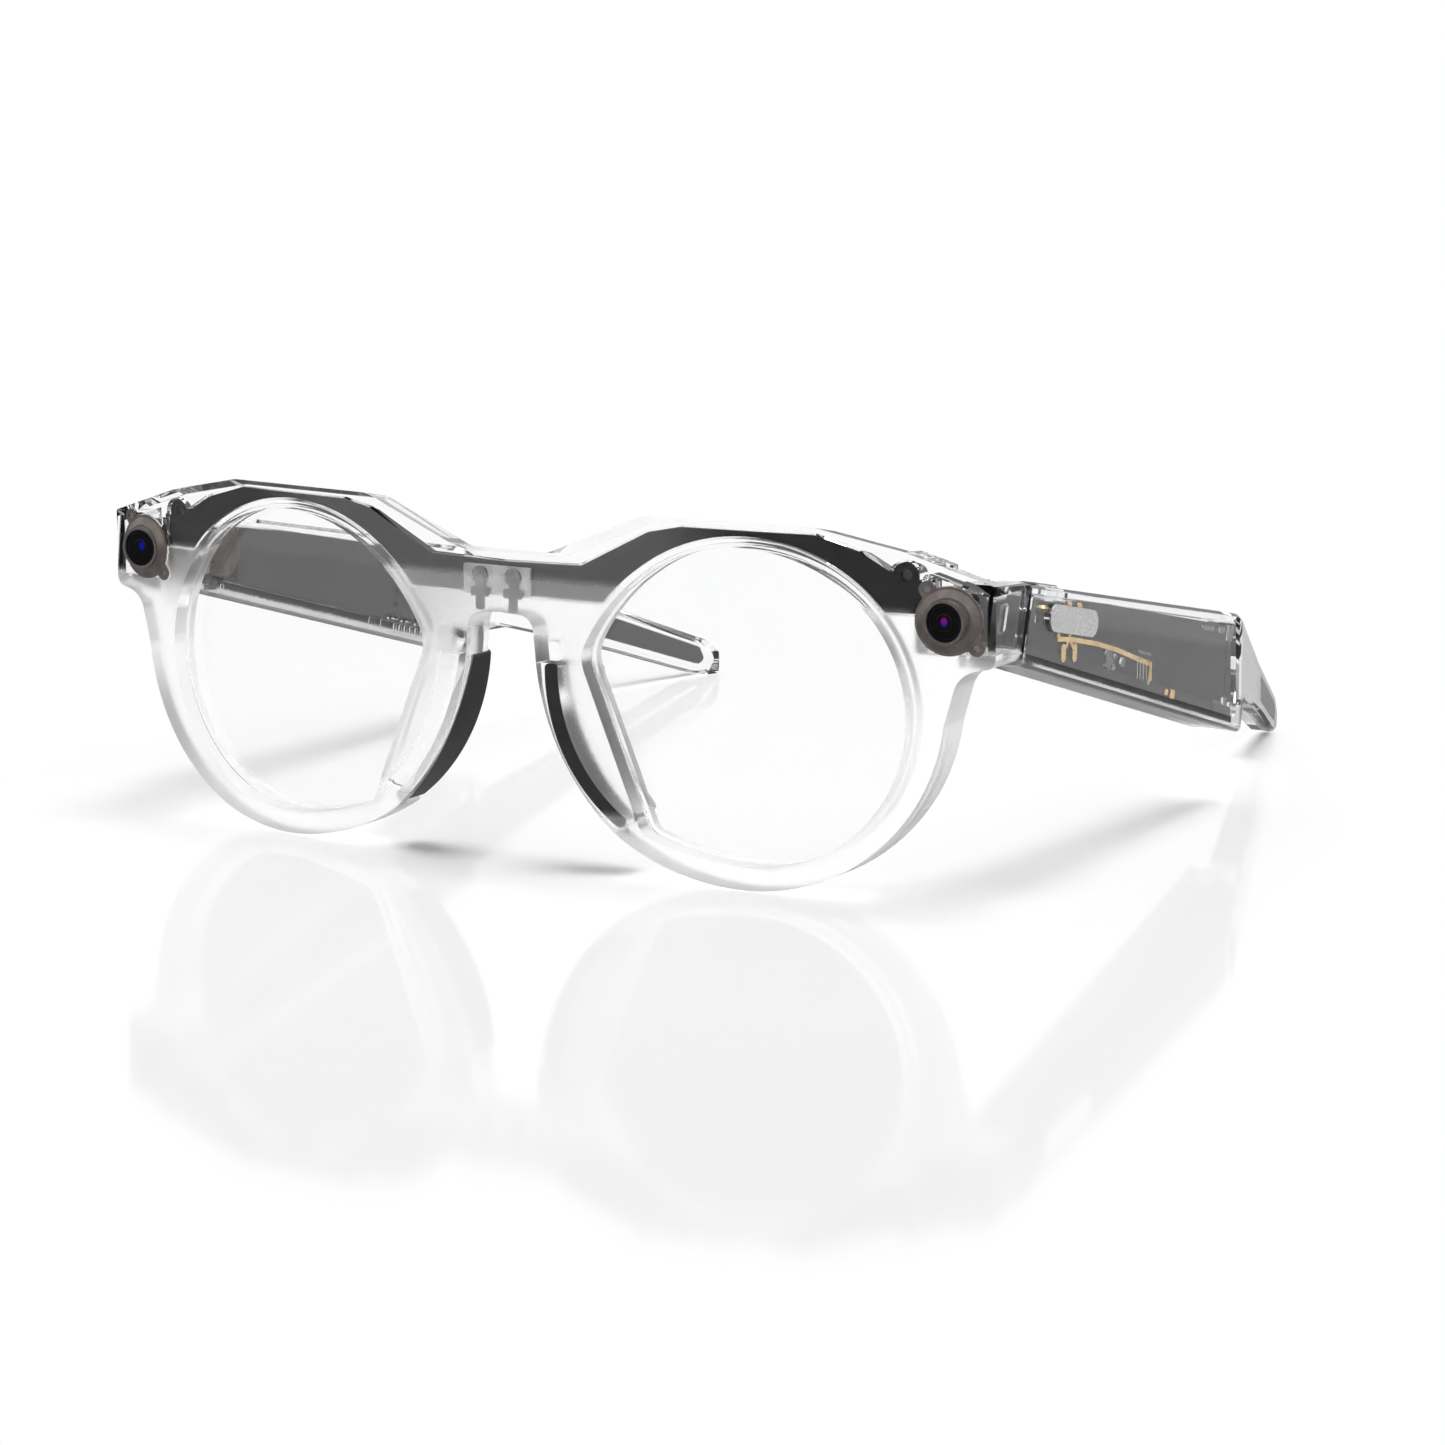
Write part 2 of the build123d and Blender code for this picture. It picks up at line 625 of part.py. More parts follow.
def hinge_leaf():
    """The half of the left hinge on the temple: a rounded plate, an arm and one knuckle."""
    plate = prism_x(leaf_outline(), *LEAF_X)
    plate = chamfer(plate.faces().sort_by(Axis.X)[0].edges(), 0.3)
    low, high = LEAF_KNUCKLE
    arm = Pos(HINGE_X + 1.15, HINGE_Y + 2.7, (low + high) / 2) * Box(1.7, 5.2, high - low)
    leaf = plate + arm + hinge_rod(KNUCKLE_RADIUS, low, high)
    leaf -= hinge_rod(PIN_RADIUS + PIN_CLEARANCE, low - 1, high + 1)
    for y, z in LEAF_SCREWS:
        leaf -= prism_x(Pos(y, z) * Circle(0.6), LEAF_X[0] - 1, LEAF_X[1] + 1)
    return leaf


def leaf_screws():
    """The screws of one hinge leaf, sunk into its plate."""
    screws = []
    for y, z in LEAF_SCREWS:
        screw = prism_x(Pos(y, z) * Circle(0.55), LEAF_X[0] + 0.1, LEAF_X[1])
        screws.append(screw - Pos(LEAF_X[0] + 0.1, y, z) * Box(0.4, 0.22, 0.9))
    return Compound(children=screws)


def temple_cover(has_switch):
    """The inner cover of a temple, clipped in round the hinge leaf."""
    outline = cavity_side(FIT) - leaf_outline(FIT) - Pos(17, 38) * Rectangle(20, 30)
    cover = prism_x(outline, *COVER_X)
    for y, z in VENTS:
        cover -= prism_x(Pos(y, z) * Rot(0, 0, -16) * SlotOverall(2.4, 0.8), SHELL_IN - 1, COVER_X[1] + 1)
    if has_switch:
        cover -= switch_place() * switch_slot()
    return cover


def carrier_outline(shrink=0.0):
    """The dark carrier from the side, in y and z."""
    shape = polygon(*CARRIER_OUTLINE)
    return offset(shape, -shrink) if shrink else shape


def core_carrier(has_button):
    """The dark tray in a temple that the board, the cell and the speaker sit in."""
    tray = prism_x(carrier_outline(), *CARRIER_X)
    tray -= prism_x(carrier_outline(0.7), CARRIER_X[0] - 1, CARRIER_FLOOR)
    if has_button:
        tray -= button_place() * (Pos(0, 0, -2.6) * Box(6, BUTTON_LENGTH + 2, 5.2))
    return tray


def in_tray(points, low, high):
    """A flat part in the tray, with rounded corners."""
    return prism_x(fillet(polygon(*points).vertices(), 0.6), low, high)


def main_board():
    """The circuit board, with four chips on its inner side."""
    board = in_tray(((30.0, 33.2), (31.2, 37.6), (56.5, 32.4), (56.5, 25.4)), 71.3, TRAY_BACK)
    for y, z, length, height in CHIPS:
        chip = Pos(y, z) * Rot(0, 0, -12) * Rectangle(length, height)
        board += prism_x(chip, 70.5, 71.4)
    return board


def battery():
    """The flat cell behind the board."""
    cell = in_tray(((58.2, 25.0), (58.2, 33.6), (80.5, 28.8), (80.5, 18.7)), 69.8, TRAY_BACK)
    return chamfer(cell.faces().sort_by(Axis.X)[0].edges(), 0.4)


def speaker():
    """The speaker box at the back of the tray, with its round driver."""
    box = in_tray(((82.0, 18.2), (82.0, 28.6), (92.6, 26.2), (92.6, 16.2), (89.0, 16.2)), 70.4, TRAY_BACK)
    return box + prism_x(Pos(87.2, 22.4) * Circle(3.4), 69.8, 70.5)


def inner_panel(has_switch):
    """The dark film behind the inner cover."""
    outline = cavity_side(0.5) - leaf_outline(1.0)
    outline -= polygon((0, 0), (0, 60), (31.5, 60), (31.0, 0))
    outline = fillet(outline.vertices().filter_by(lambda v: v.X < 33), 1.0)
    for y, z in VENTS:
        outline -= Pos(y, z) * Rot(0, 0, -16) * SlotOverall(3.0, 1.4)
    panel = prism_x(outline, *PANEL_X)
    return panel - switch_place() * Box(4, 6.4, 3.4) if has_switch else panel


def touch_flex():
    """The gilt strip under the outer skin that senses touch, with its contact pads."""
    strip = Sketch()
    for start, end in zip(FLEX_ROUTE, FLEX_ROUTE[1:]):
        strip += slot_between(start, end, 0.7)
    for y, z in FLEX_PADS:
        strip += Pos(y, z) * SlotOverall(2.7, 1.5, rotation=90)
        strip += slot_between((y, z), FLEX_FORK, 0.6)
    for contact in FLEX_CONTACTS:
        strip += Pos(*contact) * Circle(0.7)
        strip += slot_between(contact, FLEX_FORK, 0.45)
    return prism_x(strip, *FLEX_X)


def slot_between(start, end, width):
    """A narrow round-ended strip from start to end."""
    run = Vector(*end) - Vector(*start)
    middle = (Vector(*start) + Vector(*end)) * 0.5
    turn = degrees(atan(run.Y / run.X)) if abs(run.X) > 1e-6 else 90
    return Pos(middle.X, middle.Y) * Rot(0, 0, turn) * SlotCenterToCenter(run.length, width)


def badge_plate():
    """The plain bright badge, glued into its pocket."""
    return prism_x(badge_outline(), SHELL_OUT - BADGE_DEPTH, SHELL_OUT + 0.05)


def tip_core():
    """The dark stiffener inside a temple tip."""
    return tip_space(FIT)


# Button and switch
def capture_button():
    """The sprung key on top of the left temple, with a shoulder that stops it coming out."""
    key = button_key()
    key = fillet(key.faces().sort_by(Axis.Z)[-1].edges(), 0.4)
    return button_place() * (key + button_key(grow=0.4, low=-2.0, high=-1.45))


def button_dome():
    """The gilt contact dome that the capture button presses."""
    base = Pos(0, 0, -3.3) * Box(2.6, 5.0, 0.5)
    cap = Pos(0, 0, -3.05) * Cone(1.2, 0.6, 0.5, align=(Align.CENTER, Align.CENTER, Align.MIN))
    return button_place() * (base + cap)


def switch_place():
    """The middle of the power switch's slot on the inner cover, with x out of the temple."""
    return Pos(SHELL_IN, SWITCH_Y, SWITCH_Z) * Rot(-TOP_SLOPE, 0, 0)


def switch_slot():
    """The slot in the inner cover, long enough for the switch to travel."""
    return Box(6, 3.4 + SWITCH_TRAVEL + 0.3, 1.8)


def power_switch():
    """The sliding power switch, at the front end of its travel."""
    knob = Pos(0.45, -SWITCH_TRAVEL / 2, 0) * Box(1.7, 3.4, 1.6)
    knob += Pos(1.45, -SWITCH_TRAVEL / 2, 0) * Box(0.4, 4.2, 2.8)
    for step in (-1, 0, 1):
        knob -= Pos(-0.4, -SWITCH_TRAVEL / 2 + step * 0.8, 0) * Box(0.3, 0.3, 3)
    return switch_place() * knob


def place(shape):
    """Moves the origin from the face to the table, in the middle of the footprint."""
    return Pos(0, -OVERALL_LENGTH / 2, 0) * shape


def front_parts():
    """Every part of the front, by name."""
    left, right = (eye_place(side, forward=True) for side in (1, -1))
    screws = [eye_place(side) * bezel_screws() for side in (1, -1)]
    parts = {
        "front_frame": front_frame(),
        "front_rear_cover": rear_cover(),
        "brow_plate": brow_plate() - pin_holes(0.2),
        "brow_flex": brow_flex() - pin_holes(0.2),
        "bridge_bracket": bridge_bracket(),
        "charge_pins": charge_pins(),
        "camera_bezel": bezel(1),
        "light_bezel": bezel(-1),
        "camera_window": left * eye_window(),
        "light_window": right * eye_window(),
        "camera_module": left * eye_module(2.3, 1),
        "light_module": right * eye_module(1.8, -1),
        "bezel_screws": Compound(children=screws),
    }
    made = {
        "lens": lens(),
        "nose_pad": nose_pad(),
        "endpiece_cap": endpiece_cap(),
        "hinge_base": hinge_base(),
        "hinge_pin": hinge_pin(),
    }
    for name, shape in made.items():
        parts[name + "_left"] = shape
        parts[name + "_right"] = on_side(shape, -1)
    parts["hinge_base_screws"] = both_compound(base_screws())
    return parts


def both_compound(shape):
    """A group of solids together with its mirror image."""
    return Compound(children=[*shape.solids(), *mirror(shape, Plane.YZ).solids()])


def temple_parts(side, word):
    """Every part of one temple, by name."""
    has_button = has_switch = side == 1
    made = {
        "temple_shell": temple_shell(has_button),
        "temple_cover": temple_cover(has_switch),
        "core_carrier": core_carrier(has_button),
        "main_board": main_board(),
        "battery": battery(),
        "speaker": speaker(),
        "inner_panel": inner_panel(has_switch),
        "touch_flex": touch_flex(),
        "badge_plate": badge_plate(),
        "tip_core": tip_core(),
        "hinge_leaf": hinge_leaf(),
        "hinge_leaf_screws": leaf_screws(),
    }
    parts = {f"{name}_{word}": on_side(lean(shape), side) for name, shape in made.items()}
    if has_button:
        parts["capture_button"] = lean(capture_button())
        parts["button_dome"] = lean(button_dome())
    if has_switch:
        parts["power_switch"] = lean(power_switch())
    return parts


if __name__ == "__main__":
    os.makedirs("parts", exist_ok=True)
    everything = {**front_parts(), **temple_parts(1, "left"), **temple_parts(-1, "right")}
    for name, shape in everything.items():
        export_step(place(shape), f"parts/{name}.step")
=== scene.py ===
from math import cos, pi, radians, sin

import bmesh
import bpy
from mathutils import Matrix, Vector


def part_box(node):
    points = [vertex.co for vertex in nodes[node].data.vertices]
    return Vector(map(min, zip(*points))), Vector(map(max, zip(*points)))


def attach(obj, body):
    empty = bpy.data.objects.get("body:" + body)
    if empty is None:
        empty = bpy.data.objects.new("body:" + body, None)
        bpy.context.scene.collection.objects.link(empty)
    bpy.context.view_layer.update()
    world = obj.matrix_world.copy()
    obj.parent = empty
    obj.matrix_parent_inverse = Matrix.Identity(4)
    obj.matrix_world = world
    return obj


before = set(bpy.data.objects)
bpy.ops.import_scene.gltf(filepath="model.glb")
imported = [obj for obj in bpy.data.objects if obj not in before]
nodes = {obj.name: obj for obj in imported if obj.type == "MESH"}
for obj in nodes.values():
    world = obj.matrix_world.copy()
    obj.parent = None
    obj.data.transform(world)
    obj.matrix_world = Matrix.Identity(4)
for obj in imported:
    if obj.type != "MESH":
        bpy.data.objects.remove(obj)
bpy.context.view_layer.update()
scene = bpy.context.scene

MM = 0.001
FRONT_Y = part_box("front_frame")[0][1]  # the foremost point of the front
HALF_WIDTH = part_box("front_frame")[1][0]

# A temple's own frame, in millimetres: it leans in by a little about its hinge
HINGE = (65.6, 17.7)
TOE_IN = radians(1.03)
EYE_X, EYE_Z = 0.0685, 0.0403  # middle of the camera and of the light
PAD_ARC = (0.03837, 0.03178, 0.0306)  # the arc along a nose pad: x and z of its middle, its radius

CAMERA_SPOT = (0.36279, -0.56365, 0.14844)  # from the middle of the footprint's front edge
CAMERA_BACK = (0.49173, -0.85039, 0.18717)  # from what it looks at towards the camera
CAMERA_LENS = 117.9
FLOOR_RADIUS = 7
FLOOR_DROP = 0.00005  # keeps the floor just clear of the tips
FLOOR_GLOSS = 0.14
WHITE = (1, 1, 1)
SKY = ((0.0, 1.0), (0.08, 1.0), (0.16, 0.14), (0.5, 0.12), (0.8, 0.75))  # brightness by height
SUN_FALL = (-0.07, -0.1, -1)
SUN_SPREAD = radians(28)
SUN_STRENGTH = 1.9

# Frosting and films: heights at the front face, and how far they fall per metre backwards
FRONT_FROST = 0.0422
FROST_BOW = 0.0015  # how much lower the front's line is at its sides
FROST_STEP = (0.0625, 0.0665, 0.0052)  # it steps down between these, and by how much
PAD_STRIP = 0.0024  # half the width of the clear strip along a pad
PAD_STRIP_Z = (0.0215, 0.0125)  # its middle and half its height
PAD_STRIP_X = 0.03  # it stays this near the middle
BROW_MIDDLE = -0.004
# The brow plate's painted reflection: grey near the middle, black towards the ends
BROW_PAINTED_REFLECTION = (0.028, 0.043)  # from the middle: grey up to here, and black from there
TEMPLE_FROST = (0.0393, 0.287)
# A temple's inside gets painted light above this line
FILM_PAINTED_LIGHT = (0.04375, 0.207)
PANEL_RECTANGLE = (0.03917, 0.282)
PANEL_START = 0.0312
TIP_START = 0.101


# Camera, floor and light
def add_camera():
    """The camera, placed from the middle of the footprint's front edge."""
    back = Vector(CAMERA_BACK).normalized()
    right = Vector((0, 0, 1)).cross(back).normalized()
    up = back.cross(right)
    data = bpy.data.cameras.new("camera")
    data.lens = CAMERA_LENS
    data.sensor_width = 36
    data.clip_start, data.clip_end = 0.01, 20
    camera = bpy.data.objects.new("camera", data)
    scene.collection.objects.link(camera)
    place = Matrix.Translation(Vector(CAMERA_SPOT) + Vector((0, FRONT_Y, 0)))
    camera.matrix_world = place @ Matrix((right, up, back)).transposed().to_4x4()
    scene.camera = camera


def mirrored_rays(tree):
    """1 for rays that a surface reflects, 0 for the camera's own and those that come through."""
    path = node(tree, "ShaderNodeLightPath").outputs
    return calc(tree, "SUBTRACT", path["Is Glossy Ray"], path["Is Transmission Ray"], True)


def add_floor():
    """A pale, faintly glossy table top, wide enough to fill every view."""
    bpy.ops.mesh.primitive_circle_add(
        vertices=64, radius=FLOOR_RADIUS, fill_type="NGON", location=(0, 0, -FLOOR_DROP))
    floor = bpy.context.object
    floor.name = "floor"
    material = bpy.data.materials.new("floor_white")
    material.use_nodes = True
    tree = material.node_tree
    tree.nodes.clear()
    shade = blend_colour(tree, mirrored_rays(tree), (0.92, 0.92, 0.92), (0.1, 0.1, 0.1))
    diffuse = node(tree, "ShaderNodeBsdfDiffuse")
    tree.links.new(shade, diffuse.inputs["Color"])
    gloss = node(tree, "ShaderNodeBsdfAnisotropic", Color=(1, 1, 1, 1), Roughness=0.07)
    mix = node(tree, "ShaderNodeMixShader", Fac=FLOOR_GLOSS)
    tree.links.new(diffuse.outputs[0], mix.inputs[1])
    tree.links.new(gloss.outputs[0], mix.inputs[2])
    output = node(tree, "ShaderNodeOutputMaterial")
    tree.links.new(mix.outputs[0], output.inputs["Surface"])
    floor.data.materials.append(material)


def add_world():
    """Soft white light round the horizon, darker higher up, so that clear edges draw dark lines."""
    world = bpy.data.worlds.new("studio")
    scene.world = world
    world.use_nodes = True
    tree = world.node_tree
    tree.nodes.clear()
    where = node(tree, "ShaderNodeTexCoord")
    split = node(tree, "ShaderNodeSeparateXYZ")
    tree.links.new(where.outputs["Generated"], split.inputs[0])
    ramp = node(tree, "ShaderNodeValToRGB")
    fill_ramp(ramp, [(at, (v, v, v, 1)) for at, v in SKY])
    tree.links.new(split.outputs["Z"], ramp.inputs[0])
    background = node(tree, "ShaderNodeBackground", Strength=1.0)
    seen = tree.nodes.new("ShaderNodeLightPath").outputs["Is Camera Ray"]
    plain = calc(tree, "MAXIMUM", mirrored_rays(tree), seen)
    shade = blend_colour(tree, plain, ramp.outputs[0], WHITE)
    tree.links.new(shade, background.inputs["Color"])
    output = node(tree, "ShaderNodeOutputWorld")
    tree.links.new(background.outputs[0], output.inputs["Surface"])


def add_sun():
    """A broad, soft overhead light, the same over the whole table."""
    data = bpy.data.lights.new("overhead", "SUN")
    data.angle = SUN_SPREAD
    data.energy = SUN_STRENGTH
    light = bpy.data.objects.new("overhead", data)
    light.rotation_euler = Vector(SUN_FALL).to_track_quat("-Z", "Y").to_euler()
    scene.collection.objects.link(light)


# Node helpers
def node(tree, kind, **sockets):
    """A new node with some of its inputs set; an underscore stands for a space."""
    made = tree.nodes.new(kind)
    for name, value in sockets.items():
        made.inputs[name.replace("_", " ")].default_value = value
    return made


def fill_ramp(ramp, stops):
    """Gives a colour ramp its stops, as (position, colour)."""
    elements = ramp.color_ramp.elements
    while len(elements) < len(stops):
        elements.new(0.5)
    for element, (at, colour) in zip(elements, stops):
        element.position = at
        element.color = colour


def calc(tree, operation, a, b=0.0, clamp=False):
    """One arithmetic node; a and b are numbers or outputs."""
    made = tree.nodes.new("ShaderNodeMath")
    made.operation = operation
    made.use_clamp = clamp
    for socket, value in zip(made.inputs, (a, b)):
        if isinstance(value, (int, float)):
            socket.default_value = value
        else:
            tree.links.new(value, socket)
    return made.outputs[0]


def spread(tree, value, low, high, to_low, to_high, smooth=True):
    """Maps a value from one range to another."""
    ends = {"From_Min": low, "From_Max": high, "To_Min": to_low, "To_Max": to_high}
    made = node(tree, "ShaderNodeMapRange", **ends)
    made.interpolation_type = "SMOOTHSTEP" if smooth else "LINEAR"
    tree.links.new(value, made.inputs["Value"])
    return made.outputs[0]


def place_of(tree):
    """Object coordinates, which are the row frame's at rest, and their x, y and z."""
    where = tree.nodes.new("ShaderNodeTexCoord").outputs["Object"]
    split = tree.nodes.new("ShaderNodeSeparateXYZ")
    tree.links.new(where, split.inputs[0])
    return where, split.outputs


def noise(tree, where, scale, detail=4.0):
    """Fractal noise over the surface."""
    made = node(tree, "ShaderNodeTexNoise", Scale=scale, Detail=detail)
    tree.links.new(where, made.inputs["Vector"])
    return made.outputs[0]


def wave(tree, where, scale, detail, reach):
    """Noise between plus and minus half of reach."""
    centred = calc(tree, "SUBTRACT", noise(tree, where, scale, detail), 0.5)
    return calc(tree, "MULTIPLY", centred, reach)


def blend_colour(tree, factor, low, high):
    """A colour between two shades."""
    made = tree.nodes.new("ShaderNodeMix")
    made.data_type = "RGBA"
    tree.links.new(factor, made.inputs["Factor"])
    for socket, value in ((made.inputs["A"], low), (made.inputs["B"], high)):
        if isinstance(value, tuple):
            socket.default_value = (*value, 1)
        else:
            tree.links.new(value, socket)
    return made.outputs["Result"]


def bump(tree, height, distance, strength=1.0):
    """A bump of that height in metres."""
    made = node(tree, "ShaderNodeBump", Strength=strength, Distance=distance)
    tree.links.new(height, made.inputs["Height"])
    return made.outputs["Normal"]


def new_material(name):
    """A new material, with its node tree and its Principled node."""
    material = bpy.data.materials.new(name)
    material.use_nodes = True
    tree = material.node_tree
    return material, tree, tree.nodes["Principled BSDF"]


def surface(name, low, high, rough, grain, depth, metallic):
    """A material between two shades, with a grain of so many waves per metre and that depth."""
    material, tree, shader = new_material(name)
    where, _ = place_of(tree)
    broad = spread(tree, noise(tree, where, grain / 14, 3.0), 0.3, 0.7, 0, 1)
    fine = noise(tree, where, grain, 6.0)
    tree.links.new(blend_colour(tree, broad, low, high), shader.inputs["Base Color"])
    tree.links.new(spread(tree, fine, 0.25, 0.75, *rough), shader.inputs["Roughness"])
    tree.links.new(bump(tree, fine, depth), shader.inputs["Normal"])
    shader.inputs["Metallic"].default_value = metallic
    return material


# Clear plastic
def clear_plastic(name, line, clear=0.02, frosted=0.34, painted_glow=0.05, shade=(0.97, 0.975, 0.98)):
    """Clear plastic, polished above a line and frosted below it; line gives the height over it.

    The frosting has a faint painted glow, an emission that brightens it though the plastic is no
    lamp.
    The glow is a shader of its own, because glTF would carry a strength fed by nodes as full white
    light.
    """
    material, tree, shader = new_material(name)
    where, axes = place_of(tree)
    above = line(tree, axes)
    cloud = wave(tree, where, 160, 4.0, 0.0006)
    polish = spread(tree, calc(tree, "ADD", above, cloud), -0.0008, 0.0008, 0, 1)
    fine = spread(tree, noise(tree, where, 2500), 0.3, 0.7, 0.9, 1.1)
    rough = calc(tree, "MULTIPLY", spread(tree, polish, 0, 1, frosted, clear, smooth=False), fine)
    tree.links.new(rough, shader.inputs["Roughness"])
    glass = spread(tree, polish, 0, 1, 0.96, 1, smooth=False)
    tree.links.new(glass, shader.inputs["Transmission Weight"])
    colour = blend_colour(tree, polish, (0.96, 0.96, 0.96), shade)
    tree.links.new(colour, shader.inputs["Base Color"])
    flow = noise(tree, where, 90, 2.0)
    tree.links.new(bump(tree, flow, 0.00003, 0.4), shader.inputs["Normal"])
    shader.inputs["IOR"].default_value = 1.5
    shader.inputs["Specular Tint"].default_value = (0.35, 0.35, 0.35, 1)
    # Painted glow: emission in the frosting, which fades out where the plastic is polished
    light = tree.nodes.new("ShaderNodeEmission")
    strength = spread(tree, polish, 0, 1, painted_glow, 0, smooth=False)
    tree.links.new(strength, light.inputs["Strength"])
    with_painted_glow = tree.nodes.new("ShaderNodeAddShader")
    tree.links.new(shader.outputs[0], with_painted_glow.inputs[0])
    tree.links.new(light.outputs[0], with_painted_glow.inputs[1])
    let_light_through(tree, with_painted_glow, 0.93)
    return material


def let_light_through(tree, shader, share):
    """Shadow rays pass, as light does through thin clear plastic."""
    path = tree.nodes.new("ShaderNodeLightPath")
    clear = node(tree, "ShaderNodeBsdfTransparent", Color=(share, share, share, 1))
    mix = tree.nodes.new("ShaderNodeMixShader")
    tree.links.new(path.outputs["Is Shadow Ray"], mix.inputs["Fac"])
    tree.links.new(shader.outputs[0], mix.inputs[1])
    tree.links.new(clear.outputs[0], mix.inputs[2])
    tree.links.new(mix.outputs[0], tree.nodes["Material Output"].inputs["Surface"])


def front_line(tree, axes):
    """Height over the frosting line of the front, which drops at the sides of the endpieces."""
    across = calc(tree, "ABSOLUTE", axes["X"])
    share = calc(tree, "POWER", calc(tree, "DIVIDE", across, HALF_WIDTH), 2)
    bow = calc(tree, "MULTIPLY", share, FROST_BOW)
    start, end, depth = FROST_STEP
    step = spread(tree, across, start, end, 0, depth)
    drop = calc(tree, "ADD", bow, step)
    over = calc(tree, "ADD", calc(tree, "SUBTRACT", axes["Z"], FRONT_FROST), drop)
    return calc(tree, "MAXIMUM", over, clear_by_pads(tree, axes))


def clear_by_pads(tree, axes):
    """Above 0 in the strip along each side of the nose gap, through which the pads show."""
    x, z, radius = PAD_ARC
    reach = distance_from(tree, axes, x, z)
    near_arc = calc(tree, "MULTIPLY", within(tree, reach, radius, PAD_STRIP), 0.7)
    strip = calc(tree, "MINIMUM", near_arc, within(tree, axes["Z"], *PAD_STRIP_Z))
    return calc(tree, "MINIMUM", strip, within(tree, axes["X"], 0, PAD_STRIP_X))


def off_from(tree, value, middle):
    """How far the value lies from middle."""
    return calc(tree, "ABSOLUTE", calc(tree, "SUBTRACT", value, middle))


def within(tree, value, middle, half):
    """Above 0 where the value lies within half of middle."""
    return calc(tree, "SUBTRACT", half, off_from(tree, value, middle))


def over_line(tree, axes, start, fall):
    """Height over a line that starts at the front face and falls backwards along a temple."""
    back = calc(tree, "MULTIPLY", calc(tree, "SUBTRACT", axes["Y"], FRONT_Y), fall)
    return calc(tree, "ADD", calc(tree, "SUBTRACT", axes["Z"], start), back)


def temple_line(tree, axes):
    """Height over the frosting line of a temple, a strip along its underside."""
    return over_line(tree, axes, *TEMPLE_FROST)


def all_clear(tree, axes):
    """Nothing is frosted."""
    return calc(tree, "ADD", axes["Z"], 1.0)


def lens_glass():
    """A clean clear lens with a faint surface haze."""
    material, tree, shader = new_material("lens_clear")
    where, _ = place_of(tree)
    haze = spread(tree, noise(tree, where, 60), 0.4, 0.8, 0.0, 0.012)
    tree.links.new(haze, shader.inputs["Roughness"])
    tint = spread(tree, noise(tree, where, 30), 0.3, 0.7, 0, 1)
    colour = blend_colour(tree, tint, (0.99, 0.995, 0.995), WHITE)
    tree.links.new(colour, shader.inputs["Base Color"])
    shader.inputs["IOR"].default_value = 1.49
    shader.inputs["Transmission Weight"].default_value = 1
    let_light_through(tree, shader, 0.96)
    return material


def brow_film_with_painted_reflection():
    """The brow plate: satin black at its ends, with a painted grey reflection towards the bridge.
    """
    material, tree, shader = new_material("brow_black_painted_reflection")
    where, axes = place_of(tree)
    across = off_from(tree, axes["X"], BROW_MIDDLE)
    wander = wave(tree, where, 35, 1.0, 0.006)
    # Painted reflection: the plate turns grey towards the bridge
    tone = spread(tree, calc(tree, "ADD", across, wander), *BROW_PAINTED_REFLECTION, 1, 0)
    colour = blend_colour(tree, tone, (0.005, 0.005, 0.005), (0.14, 0.14, 0.14))
    tree.links.new(colour, shader.inputs["Base Color"])
    shader.inputs["Specular IOR Level"].default_value = 0.15
    fine = noise(tree, where, 5000)
    tree.links.new(spread(tree, fine, 0.3, 0.7, 0.3, 0.42), shader.inputs["Roughness"])
    tree.links.new(bump(tree, fine, 0.000008), shader.inputs["Normal"])
    return material


def distance_from(tree, axes, x, z):
    """Distance in x and z from a point, which both sides of the front share as a mirror image."""
    across = calc(tree, "SUBTRACT", calc(tree, "ABSOLUTE", axes["X"]), x)
    up = calc(tree, "SUBTRACT", axes["Z"], z)
    squares = [calc(tree, "MULTIPLY", value, value) for value in (across, up)]
    return calc(tree, "SQRT", calc(tree, "ADD", *squares))


def band(tree, value, middle, half, soft):
    """1 where the value lies within half of middle, 0 elsewhere."""
    return spread(tree, off_from(tree, value, middle), half, half + soft, 1, 0)


